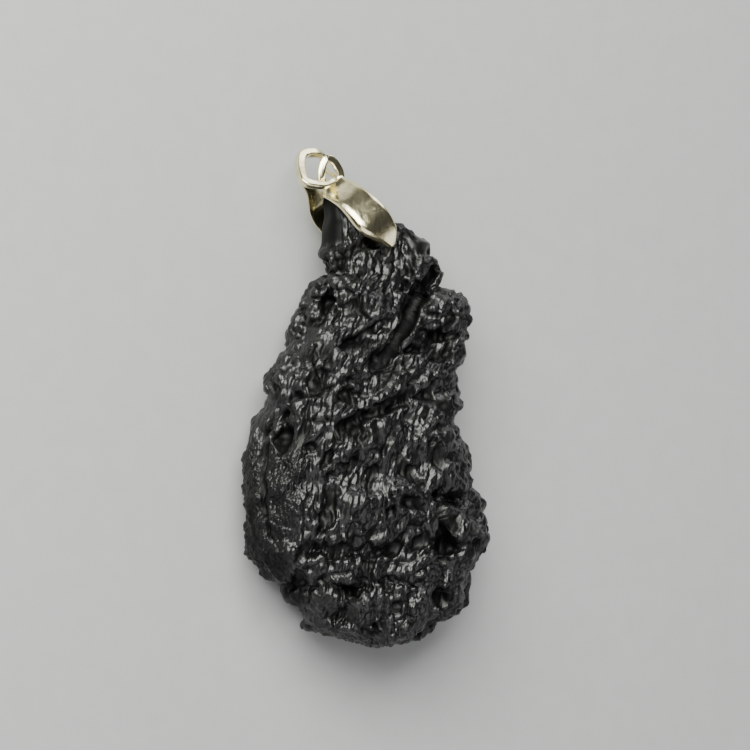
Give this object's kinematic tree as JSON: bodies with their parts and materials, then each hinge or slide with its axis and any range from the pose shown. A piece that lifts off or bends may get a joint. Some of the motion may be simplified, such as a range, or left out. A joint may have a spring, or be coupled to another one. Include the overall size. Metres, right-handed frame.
{
  "type": "tektite pendant",
  "caption": "Deeply sculpted natural black glass stone with a drilled neck, hung from a hinged pinch bail with a chain ring.",
  "frame": {"origin": "middle of the whole pendant's outline, on the surface it lies on", "axes": "+Y along the pendant towards the bail, +X to the right as seen from the front, +Z out of the front; it lies on its back on Z = 0"},
  "size_m": [0.027, 0.0494, 0.0126],
  "materials": {
    "tektite_glass": "natural black glass, glossy on the knobs and satin on the worn flank",
    "pale_gold": "polished pale gold plate"
  },
  "bodies": {
    "stone": {"tektite": "tektite_glass"},
    "back_half": {"bail_back": "pale_gold"},
    "front_half": {"bail_front": "pale_gold"}
  },
  "joints": [
    {"name": "bail_swing", "type": "hinge", "parent": "stone", "child": "back_half", "pos_m": [-0.00081, 0.01551, 0.006], "axis": [0, 0, 1], "range_deg": [-50, 30]},
    {"name": "bail_open", "type": "hinge", "parent": "back_half", "child": "front_half", "pos_m": [-0.00465, 0.02208, 0.0066], "axis": [-0.8387, -0.5446, 0], "range_deg": [0, 24]}
  ]
}
